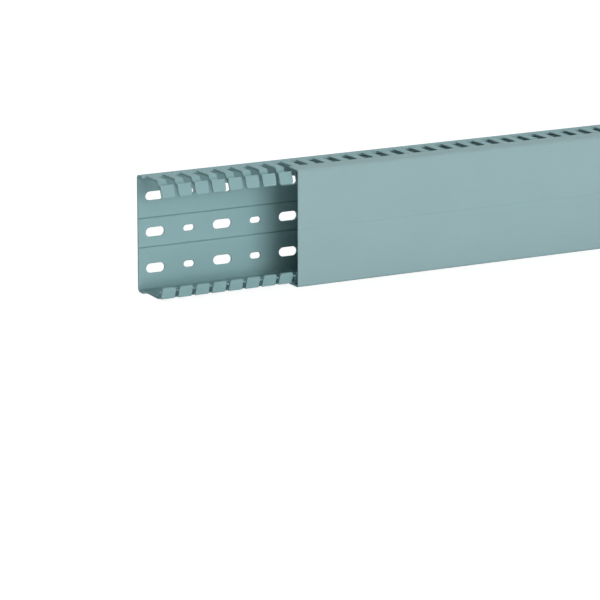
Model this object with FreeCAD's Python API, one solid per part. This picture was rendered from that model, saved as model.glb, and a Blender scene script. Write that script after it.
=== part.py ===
import FreeCAD, Part
import math
import os

# Slotted wire duct, lying on one long slotted side as it is photographed. Millimetres.
# X runs along the duct, Z across its width, and the cover faces -Y.
# The origin is the centre of the mounting face, which lies in the plane Y = 0.

# Base: one extruded and punched profile
length = 1000.0         # length in which the base and the cover are sold
width = 80.0            # outside width at the mounting face
wall = 1.6              # thickness of the back, the side walls and the lips
back_radius = 2.3       # outer edge between the back and a side wall
splay = 0.4             # how far a side wall leans out where its step begins
step_depth = 25.0       # from the mounting face to the step that seats the cover
step_run = 2.0          # length of the step's slope
step_bend = 2.0         # outer radius where the side wall bends down into the step
seat_inset = 2.6        # how far the seat lies inside the outside width
nose_depth = 33.0       # from the mounting face to the nose that the cover snaps over
nose_rise = 1.7         # how far the nose stands out from the seat
nose_run = 1.5          # length of the nose's slope
lip_depth = 36.0        # from the mounting face to the front of the lip's tip
lip_reach = 9.3         # from the outside width in to the lip's tip
bend_radius = 0.6       # smaller bends of the step, the nose and the lip

# Finger slots in both side walls
slot_pitch = 12.5
slot_width = 6.3
slot_root = 7.4         # from the mounting face to the end of a slot
slot_corner = 1.6       # rounding of a slot's inner corners
mouth_gap = 2.6         # between two neighbouring finger heads
head_depth = 31.4       # from the mounting face to the shoulders of a finger's head

# Fixing holes in the back
hole_pitch = 25.0       # from column to column and from row to row
large_hole = (13.8, 6.4)    # length along the duct, width
small_hole = (8.1, 4.3)
groove_offset = 10.0    # from the middle of the back to each score line
groove_width = 0.9
groove_depth = 0.9

# Cover: one extruded profile, snapped over the finger heads
cover_depth = 40.0      # from the mounting face to the cover's front
cover_wall = 1.0
cover_radius = 2.0      # outer edge between the front and a flange
side_gap = 0.3          # between a flange's inside and the nose
end_gap = 0.5           # from the step's slope, at the flange's inside, to the flange's edge
rib_height = 1.0        # how far the snap rib stands in from the flange
rib_run = 1.2           # width of the rib's flat top
cover_shift = 100.0     # how far the cover is pushed along to show the inside
line_width = 0.8        # score line along the middle of the front
line_depth = 0.25

# Worked out from the sizes above
half = width / 2
seat_half = half - seat_inset
nose_half = seat_half + nose_rise
tip_half = half - lip_reach
cover_half = nose_half + side_gap + cover_wall
step_share = (nose_rise + side_gap) / (seat_inset + splay)  # of the slope, below the flange's inside
flange_depth = step_depth + step_run * (1 - step_share) + end_gap
past = 2 * cover_depth  # long enough to cut right through


def rounded_outline(corners):
    """Closed wire in the YZ plane from (depth, height, radius) corners, each one rounded."""
    points = [FreeCAD.Vector(0, -depth, height) for depth, height, radius in corners]
    edges = []
    ends = []
    count = len(points)
    for i, corner in enumerate(points):
        before = (points[i - 1] - corner).normalize()
        after = (points[(i + 1) % count] - corner).normalize()
        bend = before.getAngle(after)
        radius = corners[i][2]
        if radius > 0:
            leg = radius / math.tan(bend / 2)
            middle = (before + after).normalize() * (radius / math.sin(bend / 2) - radius)
            ends.append((corner + before * leg, corner + middle, corner + after * leg))
        else:
            ends.append((corner, None, corner))
    for i, (start, middle, end) in enumerate(ends):
        if middle is not None:
            edges.append(Part.Arc(start, middle, end).toShape())
        edges.append(Part.LineSegment(end, ends[(i + 1) % count][0]).toShape())
    return Part.Wire(edges)


def mirrored(corners):
    """The corners of the other half, in the order that carries the outline on."""
    return [(depth, -height, radius) for depth, height, radius in reversed(corners)]


def extrude_profile(outline, start):
    """Solid as long as the duct with the outline as its section, from x = start."""
    face = Part.Face(rounded_outline(outline))
    face.translate(FreeCAD.Vector(start, 0, 0))
    return face.extrude(FreeCAD.Vector(length, 0, 0))


def inset(a, b, c, distance):
    """Corner b of the path a, b, c, moved to the path's right-hand side by the distance."""
    first = math.atan2(b[1] - a[1], b[0] - a[0])
    second = math.atan2(c[1] - b[1], c[0] - b[0])
    half_turn = (second - first) / 2
    reach = distance / math.cos(half_turn)
    angle = first + half_turn - math.pi / 2
    return (b[0] + reach * math.cos(angle), b[1] + reach * math.sin(angle))


def base_half():
    """Half section of the base, out along its outer face and back along its inner face."""
    foot = (0.0, half)
    step = (step_depth, half + splay)
    seat = (step_depth + step_run, seat_half)
    nose = (nose_depth, nose_half)
    tip = (lip_depth, tip_half)
    lean = (tip[0] - nose[0]) / (nose[1] - tip[1])
    heel = (nose[0] + lean * nose_rise, seat_half)
    lip_length = math.hypot(tip[0] - nose[0], nose[1] - tip[1])
    back_in = ((nose[1] - tip[1]) / lip_length * wall, (tip[0] - nose[0]) / lip_length * wall)
    tip_in = (tip[0] - back_in[0], tip[1] - back_in[1])
    heel_in = inset(seat, heel, tip, wall)
    seat_in = inset(step, seat, heel, wall)
    step_in = inset(foot, step, seat, wall)
    tip_radius = wall / 4
    return [
        foot + (back_radius,),
        step + (step_bend,),
        seat + (bend_radius,),
        (nose[0] - nose_run, seat_half, bend_radius),
        nose + (bend_radius,),
        tip + (tip_radius,),
        tip_in + (tip_radius,),
        heel_in + (bend_radius,),
        seat_in + (bend_radius,),
        step_in + (bend_radius,),
        (wall, half - wall + splay * wall / step_depth, back_radius - wall / 2),
    ]


def finger_slots():
    """Cutters for the slots: wide between the fingers, narrow between their heads."""
    cutters = []
    wide = slot_width / 2
    narrow = mouth_gap / 2
    count = int((length + wide) // slot_pitch) + 1
    for i in range(count):
        x = -length / 2 + i * slot_pitch
        body = Part.makeBox(slot_width, head_depth - slot_root, 2 * past)
        body.translate(FreeCAD.Vector(x - wide, -head_depth, -past))
        corners = [edge for edge in body.Edges if is_slot_corner(edge)]
        body = body.makeFillet(slot_corner, corners)
        has_next_finger = x + wide < length / 2
        mouth_end = x + narrow if has_next_finger else x + slot_pitch
        mouth = Part.makeBox(mouth_end - x + narrow, past - head_depth + wall, 2 * past)
        mouth.translate(FreeCAD.Vector(x - narrow, -past, -past))
        cutters.append(body.fuse(mouth))
    return cutters


def is_slot_corner(edge):
    """True for the two long edges at the closed end of a slot's cutter."""
    ends = [vertex.Point for vertex in edge.Vertexes]
    return all(abs(point.y + slot_root) < 1e-6 for point in ends) and abs(ends[0].z - ends[1].z) > past


def oblong(size, x, z):
    """Cutter for an oblong hole through the back, centred at x, z."""
    long_side, short_side = size
    radius = short_side / 2
    reach = long_side / 2 - radius
    top = FreeCAD.Vector(x, 0, z + radius)
    bottom = FreeCAD.Vector(x, 0, z - radius)
    along = FreeCAD.Vector(reach, 0, 0)
    side = FreeCAD.Vector(reach + radius, 0, 0)
    middle = FreeCAD.Vector(x, 0, z)
    outline = Part.Wire([
        Part.LineSegment(top - along, top + along).toShape(),
        Part.Arc(top + along, middle + side, bottom + along).toShape(),
        Part.LineSegment(bottom + along, bottom - along).toShape(),
        Part.Arc(bottom - along, middle - side, top - along).toShape(),
    ])
    face = Part.Face(outline)
    face.translate(FreeCAD.Vector(0, wall, 0))
    return face.extrude(FreeCAD.Vector(0, -3 * wall, 0))


def fixing_holes():
    """Cutters for the holes: large and small columns in turn, three rows each."""
    cutters = []
    columns = int((length - hole_pitch / 2) // hole_pitch) + 1
    for i in range(columns):
        x = -length / 2 + hole_pitch / 2 + i * hole_pitch
        size = large_hole if i % 2 == 0 else small_hole
        for row in (-1, 0, 1):
            cutters.append(oblong(size, x, row * hole_pitch))
    return cutters


def score_line(depth, height, line_half, sink, start):
    """Cutter for a V-shaped line along the duct, sunk into the face at the given depth."""
    bottom = FreeCAD.Vector(start, sink - depth, height)
    below = FreeCAD.Vector(start, -depth - sink, height - 2 * line_half)
    above = FreeCAD.Vector(start, -depth - sink, height + 2 * line_half)
    face = Part.Face(Part.makePolygon([bottom, below, above, bottom]))
    return face.extrude(FreeCAD.Vector(length, 0, 0))


def make_base():
    one_side = base_half()
    body = extrude_profile(one_side + mirrored(one_side), -length / 2)
    grooves = []
    for offset in (-groove_offset, groove_offset):
        grooves.append(score_line(wall, offset, groove_width / 2, groove_depth, -length / 2))
    return body.cut(finger_slots() + fixing_holes() + grooves)


def make_cover():
    """Flat front with two flanges, each with a rib that snaps in behind the noses."""
    start = -length / 2 + cover_shift
    inside = cover_half - cover_wall
    rib_front = nose_depth - nose_run - rib_height / 2
    outer = [
        (flange_depth, cover_half, cover_wall / 4),
        (cover_depth, cover_half, cover_radius),
    ]
    inner = [
        (cover_depth - cover_wall, inside, cover_radius - cover_wall),
        (rib_front + rib_height, inside, 0.0),
        (rib_front, inside - rib_height, 0.0),
        (rib_front - rib_run, inside - rib_height, 0.0),
        (rib_front - rib_run - 2 * rib_height, inside, 0.0),
        (flange_depth, inside, cover_wall / 4),
    ]
    outline = outer + mirrored(outer) + mirrored(inner) + inner
    body = extrude_profile(outline, start)
    return body.cut(score_line(cover_depth, 0.0, line_width / 2, line_depth, start))


os.makedirs("parts", exist_ok=True)
make_base().exportStep("parts/duct_base.step")
make_cover().exportStep("parts/duct_cover.step")
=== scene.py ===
import math
from bisect import bisect_right

import bmesh
import bpy
from mathutils import Matrix, Vector
from mathutils.geometry import delaunay_2d_cdt


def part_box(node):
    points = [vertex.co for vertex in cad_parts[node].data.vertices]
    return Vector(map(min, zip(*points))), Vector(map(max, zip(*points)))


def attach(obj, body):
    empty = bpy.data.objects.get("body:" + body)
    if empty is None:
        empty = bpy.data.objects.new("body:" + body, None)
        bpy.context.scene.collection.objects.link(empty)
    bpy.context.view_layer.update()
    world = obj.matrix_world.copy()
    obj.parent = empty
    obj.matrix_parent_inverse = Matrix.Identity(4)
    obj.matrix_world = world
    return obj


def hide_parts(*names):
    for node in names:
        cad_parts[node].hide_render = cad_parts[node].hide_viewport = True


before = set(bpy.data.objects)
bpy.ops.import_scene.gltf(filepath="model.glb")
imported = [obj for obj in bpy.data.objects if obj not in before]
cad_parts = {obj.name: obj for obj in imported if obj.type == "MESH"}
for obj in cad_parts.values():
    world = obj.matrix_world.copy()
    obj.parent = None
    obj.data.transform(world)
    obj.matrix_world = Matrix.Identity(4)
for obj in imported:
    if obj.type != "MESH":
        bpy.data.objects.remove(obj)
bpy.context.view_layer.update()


# Duct base: a U-shaped profile of rigid PVC, extruded in one piece. A press then punches the
# finger slots and the fixing holes in strokes of 50 mm, and a saw cuts the duct to length.
# Sizes are in millimetres: depths from the mounting face, heights from the middle of the back.
MM = 0.001
width = 80.0
wall = 1.6
back_radius = 2.3           # of the outer edge between the back and a side wall
splay = 0.4                 # how far a side wall leans out where its step begins
step_depth, step_run, step_bend = 25.0, 2.0, 2.0
seat_inset = 2.6            # how far the cover's seat lies inside the outside width
nose_depth, nose_rise, nose_run = 33.0, 1.7, 1.5
lip_depth, lip_reach = 36.0, 9.3
bend_radius = 0.6           # of the smaller bends of the step, the nose and the lip
slot_pitch, slot_width = 12.5, 6.3
slot_root, slot_corner = 7.4, 1.6
mouth_gap, head_depth = 2.6, 31.4
shoulder_radius = 0.35      # of the corners where a slot narrows between two finger heads
funnel_depth, funnel_flare, funnel_radius = 1.5, 0.7, 1.0
beyond_tip = 5.0            # how far a slot's outline runs on past the lip's tip
hole_pitch = 25.0
large_hole, small_hole = (13.8, 6.4), (8.1, 4.3)
hole_end_flat = 0.02        # what stays straight at the middle of a hole's round end
groove_offset, groove_half, groove_depth = 10.0, 0.45, 0.9
worn_edge = 0.18            # how far a cut edge is worn off, across the wall and along it
stroke = 4 * slot_pitch
same_place = 1e-5           # points nearer than this are one point
on_line = 1e-4              # a point nearer than this lies on the line
stroke_weld = 0.002         # points of two strokes nearer than this are joined
sharpest_bend = 50.0        # degrees between two faces that still look like one round bend

half = width / 2
seat_half = half - seat_inset
tip_half = half - lip_reach


def corner_arc(before, corner, after, radius, steps):
    """Points of the arc that rounds the corner of a path, in the path's order."""
    corner = Vector(corner)
    back = (Vector(before) - corner).normalized()
    on = (Vector(after) - corner).normalized()
    bend = back.angle(on)
    centre = corner + (back + on).normalized() * (radius / math.sin(bend / 2))
    start = corner + back * (radius / math.tan(bend / 2)) - centre
    turn = math.copysign(math.pi - bend, back.x * on.y - back.y * on.x)
    return [centre + Matrix.Rotation(-turn * i / steps, 2) @ start for i in range(steps + 1)]


def rounded_loop(corners, steps):
    """Closed outline through (x, y, radius) corners."""
    loop = []
    for i, (x, y, radius) in enumerate(corners):
        before, after = corners[i - 1][:2], corners[(i + 1) % len(corners)][:2]
        loop += corner_arc(before, (x, y), after, radius, steps) if radius else [Vector((x, y))]
    return loop


def grown_loop(loop, distance):
    """A clockwise outline with every side moved outwards by the distance."""
    grown = []
    for i, point in enumerate(loop):
        came = (point - loop[i - 1]).normalized()
        goes = (loop[(i + 1) % len(loop)] - point).normalized()
        outward = Vector((-came.y, came.x))
        side = (outward + Vector((-goes.y, goes.x))).normalized()
        grown.append(point + side * (distance / side.dot(outward)))
    return grown


def inset(a, b, c, distance):
    """Corner b of the path a, b, c, moved to the path's right-hand side by the distance."""
    first = math.atan2(b[1] - a[1], b[0] - a[0])
    second = math.atan2(c[1] - b[1], c[0] - b[0])
    half_turn = (second - first) / 2
    reach = distance / math.cos(half_turn)
    angle = first + half_turn - math.pi / 2
    return (b[0] + reach * math.cos(angle), b[1] + reach * math.sin(angle))


def upper_stations():
    """Stations across the upper half, from the score line to the lip's tip: each is a point of the
    outer skin and the point of the inner skin that faces it."""
    foot, step, seat = (0.0, half), (step_depth, half + splay), (step_depth + step_run, seat_half)
    throat = (nose_depth - nose_run, seat_half)
    nose, tip = (nose_depth, seat_half + nose_rise), (lip_depth, tip_half)
    lip_run, lip_fall = tip[0] - nose[0], nose[1] - tip[1]
    lip_length = math.hypot(lip_run, lip_fall)
    heel = (nose[0] + nose_rise * lip_run / lip_fall, seat_half)
    tip_in = (tip[0] - wall * lip_fall / lip_length, tip[1] - wall * lip_run / lip_length)
    heel_in = inset(seat, heel, tip, wall)
    seat_in = inset(step, seat, heel, wall)
    step_in = inset(foot, step, seat, wall)
    foot_in = (wall, half - wall + splay * wall / step_depth)
    stations = [
        ((0.0, groove_offset - groove_half), (wall, groove_offset - groove_half)),
        ((0.0, groove_offset), (wall - groove_depth, groove_offset)),
        ((0.0, groove_offset + groove_half), (wall, groove_offset + groove_half)),
    ]
    stations += zip(corner_arc((0, 0), foot, step, back_radius, steps=6),
                    corner_arc((wall, 0), foot_in, step_in, back_radius - wall / 2, steps=6))
    stations += zip(corner_arc(foot, step, seat, step_bend, steps=6),
                    corner_arc(foot_in, step_in, seat_in, bend_radius, steps=6))
    stations += zip(corner_arc(step, seat, throat, bend_radius, steps=4),
                    corner_arc(step_in, seat_in, heel_in, bend_radius, steps=4))
    for point in corner_arc(seat, throat, nose, bend_radius, steps=3):
        stations.append((point, (point.x, seat_half - wall)))
    stations += zip(corner_arc(throat, nose, tip, bend_radius, steps=5),
                    corner_arc(seat_in, heel_in, tip_in, bend_radius, steps=5))
    stations.append((tip, tip_in))
    return [(Vector(outer), Vector(inner)) for outer, inner in stations]


upper = upper_stations()
lower = [(Vector((outer.x, -outer.y)), Vector((inner.x, -inner.y))) for outer, inner in reversed(upper)]
section = lower + upper
run = [0.0]
for (before, _), (after, _) in zip(section, section[1:]):
    run.append(run[-1] + (after - before).length)
run = [place - run[-1] / 2 for place in run]
tip_run = run[-1]


def run_at(depth):
    """Where along the flat strip the upper side's outer skin reaches the depth."""
    for i in range(len(section) // 2, len(section) - 1):
        near, far = section[i][0].x, section[i + 1][0].x
        if near <= depth < far:
            return run[i] + (run[i + 1] - run[i]) * (depth - near) / (far - near)


root_run, shoulder_run = run_at(slot_root), run_at(head_depth)


def folded(x, place, skin, sink):
    """The folded strip's point at x and place, sunk into the wall from its outer (0) or inner (1) skin."""
    i = min(max(bisect_right(run, place) - 1, 0), len(run) - 2)
    share = (place - run[i]) / (run[i + 1] - run[i])
    near, far = [section[i][k].lerp(section[i + 1][k], share) for k in (skin, 1 - skin)]
    point = near + (far - near).normalized() * sink
    return Vector((x, -point.x, point.y)) * MM


def slot_outline(x, side):
    """A finger slot in the flat strip: wide between two fingers, narrow between their heads, and
    opened out like a funnel at the lips' tips, where a cable is pressed in."""
    wide, narrow = slot_width / 2, mouth_gap / 2
    flared = narrow + funnel_flare * (1 + beyond_tip / funnel_depth)
    right = [
        (flared, tip_run + beyond_tip, 0.0),
        (narrow, tip_run - funnel_depth, funnel_radius),
        (narrow, shoulder_run, shoulder_radius),
        (wide, shoulder_run, shoulder_radius),
        (wide, root_run, slot_corner),
    ]
    left = [(-u, v, radius) for u, v, radius in reversed(right)]
    loop = rounded_loop([(x + u, side * v, radius) for u, v, radius in left + right], steps=5)
    return loop if side > 0 else loop[::-1]


def hole_outline(x, place, size):
    """An oblong fixing hole in the flat strip."""
    u, v = size[0] / 2, size[1] / 2
    radius = v - hole_end_flat / 2
    ends = [(x - u, place - v), (x - u, place + v), (x + u, place + v), (x + u, place - v)]
    return rounded_loop([end + (radius,) for end in ends], steps=6)


def punched_strip(sawn):
    """One press stroke laid flat, sawn off at each x in sawn: its points, and the triangles that the
    press leaves. Beside each cut runs a line where its worn edge begins."""
    corners = [(0, run[0]), (stroke, run[0]), (stroke, tip_run), (0, tip_run)]
    points = [Vector(corner) for corner in corners]
    edges = []
    faces = [[0, 1, 2, 3]]

    def lay(path):
        ids = list(range(len(points), len(points) + len(path)))
        points.extend(path)
        edges.extend(zip(ids, ids[1:]))
        return ids

    slots = round(stroke / slot_pitch) + 1
    outlines = [slot_outline(k * slot_pitch, side) for k in range(slots) for side in (-1, 1)]
    for x, size in ((slot_pitch, large_hole), (slot_pitch + hole_pitch, small_hole)):
        outlines += [hole_outline(x, row * hole_pitch, size) for row in (-1, 0, 1)]
    for outline in outlines:
        faces.append(lay(outline)[::-1])
        grown = grown_loop(outline, worn_edge)
        lay(grown + grown[:1])
    for place in run[1:-1] + [run[0] + worn_edge, tip_run - worn_edge]:
        lay([Vector((0, place)), Vector((stroke, place))])
    for x in sawn:
        inside = worn_edge if x == 0 else stroke - worn_edge
        lay([Vector((inside, run[0])), Vector((inside, tip_run))])
    flat, _, triangles, _, _, origins = delaunay_2d_cdt(points, edges, faces, 1, same_place)
    kept = [list(triangle) for triangle, origin in zip(triangles, origins) if list(origin) == [0]]
    return flat, kept


def stroke_mesh(sawn):
    """One press stroke folded up into the U: its points, the faces of its two skins, and the
    punched and the sawn faces that join the skins."""
    flat, kept = punched_strip(sawn)

    def lies_at(side, places):
        return any(all(abs(flat[i].x - x) < on_line for i in side) for x in places)

    sides = {(a, b) for t in kept for a, b in zip(t, t[1:] + t[:1])}
    welds = [x for x in (0, stroke) if x not in sawn]
    cuts = [side for side in sides if side[::-1] not in sides and not lies_at(side, welds)]
    cut_points = {i for side in cuts for i in side}
    used = sorted({i for t in kept for i in t})
    number = {i: n for n, i in enumerate(used)}
    count = len(used)
    points = []
    for skin in (0, 1):
        for i in used:
            points.append(folded(flat[i].x, flat[i].y, skin, worn_edge if i in cut_points else 0.0))
    skin_faces = [[number[i] for i in reversed(t)] for t in kept]
    skin_faces += [[number[i] + count for i in t] for t in kept]
    punched_faces, sawn_faces = [], []
    for a, b in cuts:
        cut_faces = sawn_faces if lies_at((a, b), sawn) else punched_faces
        cut_faces.append([number[a], number[b], number[b] + count, number[a] + count])
    return points, skin_faces, punched_faces, sawn_faces


def placed(name, data):
    """Puts an object with this mesh, lamp or camera into the scene."""
    thing = bpy.data.objects.new(name, data)
    bpy.context.scene.collection.objects.link(thing)
    return thing


def plastic_piece(name, points, finishes, weld=0.0):
    """A piece with these points, in metres, and one list of faces for each of its finishes. Points
    nearer than the weld are joined, bends look round and flat faces stay flat."""
    mesh = bpy.data.meshes.new("duct " + name)
    mesh.from_pydata(points, [], [face for faces in finishes for face in faces])
    mesh.polygons.foreach_set("material_index", [i for i, faces in enumerate(finishes) for _ in faces])
    shell = bmesh.new()
    shell.from_mesh(mesh)
    if weld:
        bmesh.ops.remove_doubles(shell, verts=shell.verts, dist=weld)
    bmesh.ops.recalc_face_normals(shell, faces=shell.faces)
    shell.to_mesh(mesh)
    shell.free()
    mesh.shade_smooth()
    mesh.set_sharp_from_angle(angle=math.radians(sharpest_bend))
    piece = placed(name, mesh)
    weighted = piece.modifiers.new("flat faces stay flat", "WEIGHTED_NORMAL")
    weighted.keep_sharp = True
    return piece


low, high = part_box("duct_base")
strokes = round((high.x - low.x) / MM / stroke)
duct = [stroke_mesh((0,))] + [stroke_mesh(())] * (strokes - 2) + [stroke_mesh((stroke,))]
points = []
finishes = ([], [], [])
for k, (stroke_points, *stroke_finishes) in enumerate(duct):
    first = len(points)
    shift = Vector((low.x + k * stroke * MM, 0, 0))
    points += [point + shift for point in stroke_points]
    for faces, stroke_faces in zip(finishes, stroke_finishes):
        faces += [[i + first for i in face] for face in stroke_faces]
base = plastic_piece("base", points, finishes, weld=stroke_weld * MM)


def linear(code):
    """An sRGB hex colour as linear RGBA."""
    channels = [int(code[i:i + 2], 16) / 255 for i in (1, 3, 5)]
    return [c / 12.92 if c <= 0.04045 else ((c + 0.055) / 1.055) ** 2.4 for c in channels] + [1.0]


def add(tree, kind, links=(), **settings):
    """Adds a shader node, with values for its sockets or properties and links into its sockets."""
    node = tree.nodes.new("ShaderNode" + kind)
    for name, value in settings.items():
        socket = node.inputs.get(name.replace("_", " "))
        if socket is None:
            setattr(node, name, value)
        else:
            socket.default_value = value
    for name, output in links:
        tree.links.new(output, node.inputs[name])
    return node


def finish_pvc(tree, colour, tones, roughness, reliefs):
    """Gives PVC its pigment, gloss and relief. The two tones lighten and darken the pigment. Each of
    them, and the roughness, is a texture with its lowest and highest value, and each relief is a
    texture with its height."""
    shader = tree.nodes["Principled BSDF"]
    shader.inputs["IOR"].default_value = 1.54
    # The fine grain of the skin and the torn plastic of a cut scatter most of the gloss.
    shader.inputs["Specular IOR Level"].default_value = 0.12
    spread = []
    for texture, lowest, highest in tones + [roughness]:
        # Most of a texture lies between 0.3 and 0.7.
        ranged = add(tree, "MapRange", [("Value", texture.outputs[0])],
                     From_Min=0.3, From_Max=0.7, To_Min=lowest, To_Max=highest)
        spread.append(ranged.outputs["Result"])
    tone = add(tree, "Math", [(0, spread[0]), (1, spread[1])], operation="MULTIPLY")
    pigment = add(tree, "HueSaturation", [("Value", tone.outputs[0])], Color=linear(colour))
    tree.links.new(pigment.outputs["Color"], shader.inputs["Base Color"])
    tree.links.new(spread[2], shader.inputs["Roughness"])
    under = []
    for texture, height in reliefs:
        relief = add(tree, "Bump", [("Height", texture.outputs[0])] + under, Strength=1.0, Distance=height)
        under = [("Normal", relief.outputs["Normal"])]
    tree.links.new(relief.outputs["Normal"], shader.inputs["Normal"])


def extruded_pvc(name, colour):
    """Rigid PVC as it leaves the die: an even satin skin, a little cloudy where the pigment flowed,
    with faint lines drawn along it where the die's land was uneven."""
    material = bpy.data.materials.new(name)
    material.use_nodes = True
    tree = material.node_tree
    place = add(tree, "TexCoord").outputs["Object"]
    cloud_size = 40 * MM
    clouds = add(tree, "TexNoise", [("Vector", place)], Scale=1 / cloud_size, Detail=3.0)
    line_length, line_gap = 300 * MM, 2 * MM
    drawn = add(tree, "Mapping", [("Vector", place)],
                Scale=(1 / line_length, 1 / line_gap, 1 / line_gap))
    lines = add(tree, "TexNoise", [("Vector", drawn.outputs["Vector"])], Scale=1.0, Detail=4.0)
    # The skin's matte grain is about 0.1 mm wide, drawn at 0.7 mm so that it shows.
    grain_size = 0.7 * MM
    grain = add(tree, "TexNoise", [("Vector", place)], Scale=1 / grain_size, Detail=1.0)
    finish_pvc(tree, colour, tones=[(clouds, 0.985, 1.015), (lines, 0.99, 1.01)],
               roughness=(lines, 0.56, 0.64), reliefs=[(lines, 0.012 * MM), (grain, 0.008 * MM)])
    return material


def cut_pvc(name, colour, mark_gap, mark_depth):
    """Rigid PVC where a tool has cut it: the skin is gone, so it is paler, duller and rough to the
    touch, with the tool's marks across the wall and the crumbled grain of the torn plastic."""
    material = bpy.data.materials.new(name)
    material.use_nodes = True
    tree = material.node_tree
    place = add(tree, "TexCoord").outputs["Object"]
    # A wave of scale 1 has diagonal bands this far apart in metres, across a sawn end.
    band_gap = math.pi / 5 / math.sqrt(2)
    marks = add(tree, "TexWave", [("Vector", place)], bands_direction="DIAGONAL",
                Scale=band_gap / mark_gap, Distortion=2.0, Detail=2.0, Detail_Scale=1.0)
    # Torn plastic crumbles at about 0.1 mm, drawn at 0.5 mm so that it shows.
    crumb_size = 0.5 * MM
    crumbs = add(tree, "TexNoise", [("Vector", place)], Scale=1 / crumb_size, Detail=3.0)
    finish_pvc(tree, colour, tones=[(marks, 0.97, 1.0), (crumbs, 0.96, 1.05)],
               roughness=(crumbs, 0.62, 0.75), reliefs=[(marks, mark_depth), (crumbs, 0.02 * MM)])
    return material


# The marks of a real punch and saw lie within a millimetre of each other, too fine to show. They
# are drawn some millimetres apart, and those of the saw closer together and deeper.
extruded_skin = extruded_pvc("extruded PVC", "#91B4B7")
punched_edge = cut_pvc("punched PVC edge", "#98B8BB", mark_gap=5.33 * MM, mark_depth=0.01 * MM)
sawn_end = cut_pvc("sawn PVC end", "#9EBCBF", mark_gap=2.665 * MM, mark_depth=0.03 * MM)
base.data.materials.append(extruded_skin)
base.data.materials.append(punched_edge)
base.data.materials.append(sawn_end)
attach(base, "base")
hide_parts("duct_base")


# Duct cover: a flat strip of the same PVC with two flanges, extruded in one piece and sawn. A rib
# inside each flange clips in behind the fingers' noses, and the cover can also be slid along.
cover_depth, cover_wall, cover_radius = 40.0, 1.0, 2.0
side_gap, end_gap = 0.3, 0.5        # from a flange to the nose and, at its edge, to the step
rib_height, rib_run = 1.0, 1.2
rib_radius = 0.15
line_half, line_depth = 0.35, 0.38  # the score line along the middle of the front
cover_half = seat_half + nose_rise + side_gap + cover_wall
step_share = (nose_rise + side_gap) / (seat_inset + splay)
flange_depth = step_depth + step_run * (1 - step_share) + end_gap


def mirrored(corners):
    """The corners of the other half, in the order that carries the outline on."""
    return [(depth, -height, radius) for depth, height, radius in reversed(corners)]


def cover_outline():
    """Closed section of the cover: its outer face from flange to flange, and its inner face back."""
    inside = cover_half - cover_wall
    rib_front = nose_depth - nose_run - rib_height / 2
    outer = [
        (flange_depth, cover_half, cover_wall / 4),
        (cover_depth, cover_half, cover_radius),
        (cover_depth, line_half, 0.0),
    ]
    inner = [
        (cover_depth - cover_wall, inside, cover_radius - cover_wall),
        (rib_front + rib_height, inside, rib_radius),
        (rib_front, inside - rib_height, rib_radius),
        (rib_front - rib_run, inside - rib_height, rib_radius),
        (rib_front - rib_run - 2 * rib_height, inside, rib_radius),
        (flange_depth, inside, cover_wall / 4),
    ]
    line_bottom = [(cover_depth - line_depth, 0.0, 0.0)]
    return rounded_loop(outer + line_bottom + mirrored(outer) + mirrored(inner) + inner, steps=5)


def filled(outline):
    """Triangles that fill an outline, as numbers of its points."""
    around = list(range(len(outline)))[::-1]
    _, _, triangles, given, _, _ = delaunay_2d_cdt(outline, [], [around], 1, same_place)
    return [[given[i][0] for i in triangle] for triangle in triangles]


cover_low, cover_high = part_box("duct_cover")
cover_length = (cover_high.x - cover_low.x) / MM
outline = cover_outline()
count = len(outline)
worn_outline = grown_loop(outline, -worn_edge)
# A ring at every 50 mm, as in the base, so that no face is a metre long and a hair wide.
rings = [(0.0, worn_outline)]
for k in range(strokes + 1):
    place = min(max(k * stroke, worn_edge), cover_length - worn_edge)
    rings.append((place, outline))
rings.append((cover_length, worn_outline))
points = [(cover_low.x + place * MM, -p.x * MM, p.y * MM) for place, ring in rings for p in ring]
last = len(points) - count
skin_faces = []
for first in range(0, last, count):
    for i in range(count):
        j = (i + 1) % count
        skin_faces.append([first + i, first + j, first + count + j, first + count + i])
end_faces = filled(outline)
end_faces += [[i + last for i in reversed(triangle)] for triangle in end_faces]
cover = plastic_piece("cover", points, (skin_faces, end_faces))
cover.data.materials.append(extruded_pvc("extruded PVC of the cover", "#9AB7BA"))
cover.data.materials.append(sawn_end)
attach(cover, "cover")
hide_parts("duct_cover")


# Studio: a white paper floor that runs out of sight under a white surround, and soft lamps far
# away. To the eye, and in gloss, both are plain white, and the floor keeps a faint shadow.
floor_reach = 8.0
painted_shade_depth = 20.0 * MM
ground = min(low.z, cover_low.z)
# The middle tile of the floor, under the back of the duct, is painted shade: it glows dark teal, as if
# lit only by light bounced off the duct, so that no white shows between the lower fingers. It begins
# under the first finger, out of sight.
columns = (-floor_reach, low.x + slot_pitch / 2 * MM, high.x, floor_reach)
rows = (-floor_reach, -painted_shade_depth, 0.0, floor_reach)
across = len(columns)
tiles = []
for row in range(len(rows) - 1):
    for column in range(across - 1):
        k = row * across + column
        tiles.append((k, k + 1, k + 1 + across, k + across))
floor_mesh = bpy.data.meshes.new("floor")
floor_mesh.from_pydata([(x, y, ground) for y in rows for x in columns], [], tiles)
floor_mesh.polygons[len(tiles) // 2].material_index = 1
floor = placed("floor", floor_mesh)


def seen_or_mirrored(tree):
    """1 for a ray from the camera, or one that a surface mirrors or lets through; 0 for light."""
    path = add(tree, "LightPath")
    seen = path.outputs["Is Camera Ray"]
    for name in ("Is Glossy Ray", "Is Transmission Ray"):
        seen = add(tree, "Math", [(0, seen), (1, path.outputs[name])], operation="MAXIMUM").outputs["Value"]
    return seen


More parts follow.
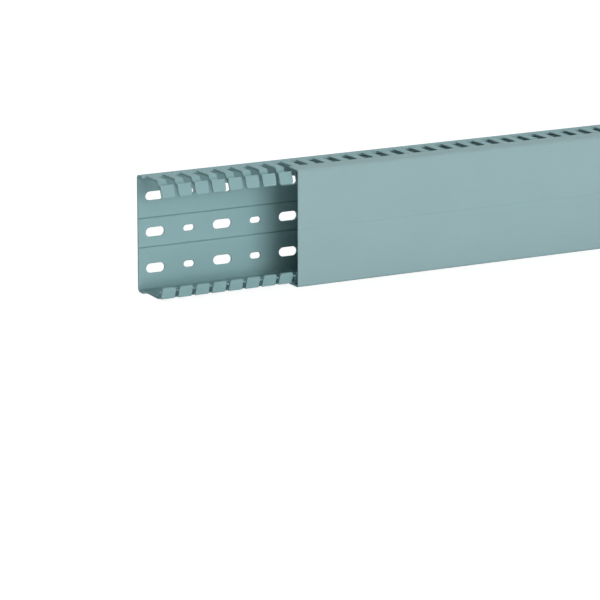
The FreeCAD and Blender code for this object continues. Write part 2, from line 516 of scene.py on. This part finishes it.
def paper(name, seen_colour):
    """Matte white paper, which sends the lamps' light up under the duct. To the eye, and in gloss, it
    has the seen colour even in full shade, and is lighter where the lamps reach it."""
    material = bpy.data.materials.new(name)
    material.use_nodes = True
    tree = material.node_tree
    tree.nodes.remove(tree.nodes["Principled BSDF"])
    matte = add(tree, "BsdfDiffuse", Color=linear("#E6E6E6"))
    lamplit = add(tree, "BsdfDiffuse", Color=linear("#8C8C8C"))
    shade = add(tree, "Emission", Color=linear(seen_colour), Strength=1.0)
    seen = add(tree, "AddShader", [(0, lamplit.outputs["BSDF"]), (1, shade.outputs["Emission"])])
    either = add(tree, "MixShader", [(0, seen_or_mirrored(tree)), (1, matte.outputs["BSDF"]),
                                     (2, seen.outputs["Shader"])])
    tree.links.new(either.outputs["Shader"], tree.nodes["Material Output"].inputs["Surface"])
    return material


floor.data.materials.append(paper("white paper floor", "#F3F3F3"))
# Painted shade: the middle tile glows dark teal, as paper lit only by light bounced off the duct would
# look.
floor.data.materials.append(paper("paper with painted shade under the duct", "#7C9B9E"))

world = bpy.data.worlds.new("studio")
bpy.context.scene.world = world
world.use_nodes = True
tree = world.node_tree
ambient = tree.nodes["Background"]
ambient.inputs["Color"].default_value = linear("#FFFFFF")
ambient.inputs["Strength"].default_value = 0.02
surround = add(tree, "Background", Color=linear("#FFFFFF"), Strength=1.0)
either = add(tree, "MixShader", [(0, seen_or_mirrored(tree)), (1, ambient.outputs["Background"]),
                                 (2, surround.outputs["Background"])])
tree.links.new(either.outputs["Shader"], tree.nodes["World Output"].inputs["Surface"])


def soft_lamp(name, right, up, spread, strength):
    """A far lamp that the duct sees as a soft disc, its spread in degrees wide. It stands this many
    degrees to the right of straight in front of the cover, and this many up."""
    lamp = placed(name, bpy.data.lights.new(name, "SUN"))
    lamp.data.angle = math.radians(spread)
    lamp.data.energy = strength
    side, rise = math.radians(right), math.radians(up)
    towards = Vector((math.sin(side) * math.cos(rise), -math.cos(side) * math.cos(rise), math.sin(rise)))
    lamp.rotation_mode = "QUATERNION"
    lamp.rotation_quaternion = towards.to_track_quat("Z", "Y")


soft_lamp("key", right=10, up=4, spread=38, strength=2.02)
soft_lamp("high fill", right=0, up=25, spread=50, strength=0.8)
soft_lamp("left fill", right=-55, up=10, spread=34, strength=0.12)
soft_lamp("from behind", right=180, up=66, spread=40, strength=1.5)

# Camera: a long lens at the open left end, fitted to the fixing holes and the outer edges in the
# photo. It stands this many millimetres from the lower left corner of the mounting face.
camera_stand = Vector((-1022.7, -2167.1, 597.0)) * MM
azimuth, elevation = math.radians(27.856), math.radians(14.137)
camera = placed("camera", bpy.data.cameras.new("camera"))
bpy.context.scene.camera = camera
camera.data.sensor_width = 36.0
camera.data.lens = 221.29
camera.data.clip_end = 100.0
camera.location = Vector((low.x, 0.0, -half * MM)) + camera_stand
level = math.cos(elevation)
back = Vector((-math.sin(azimuth) * level, -math.cos(azimuth) * level, math.sin(elevation)))
camera.rotation_mode = "QUATERNION"
camera.rotation_quaternion = back.to_track_quat("Z", "Y")

view = bpy.context.scene.view_settings
view.view_transform = "Standard"
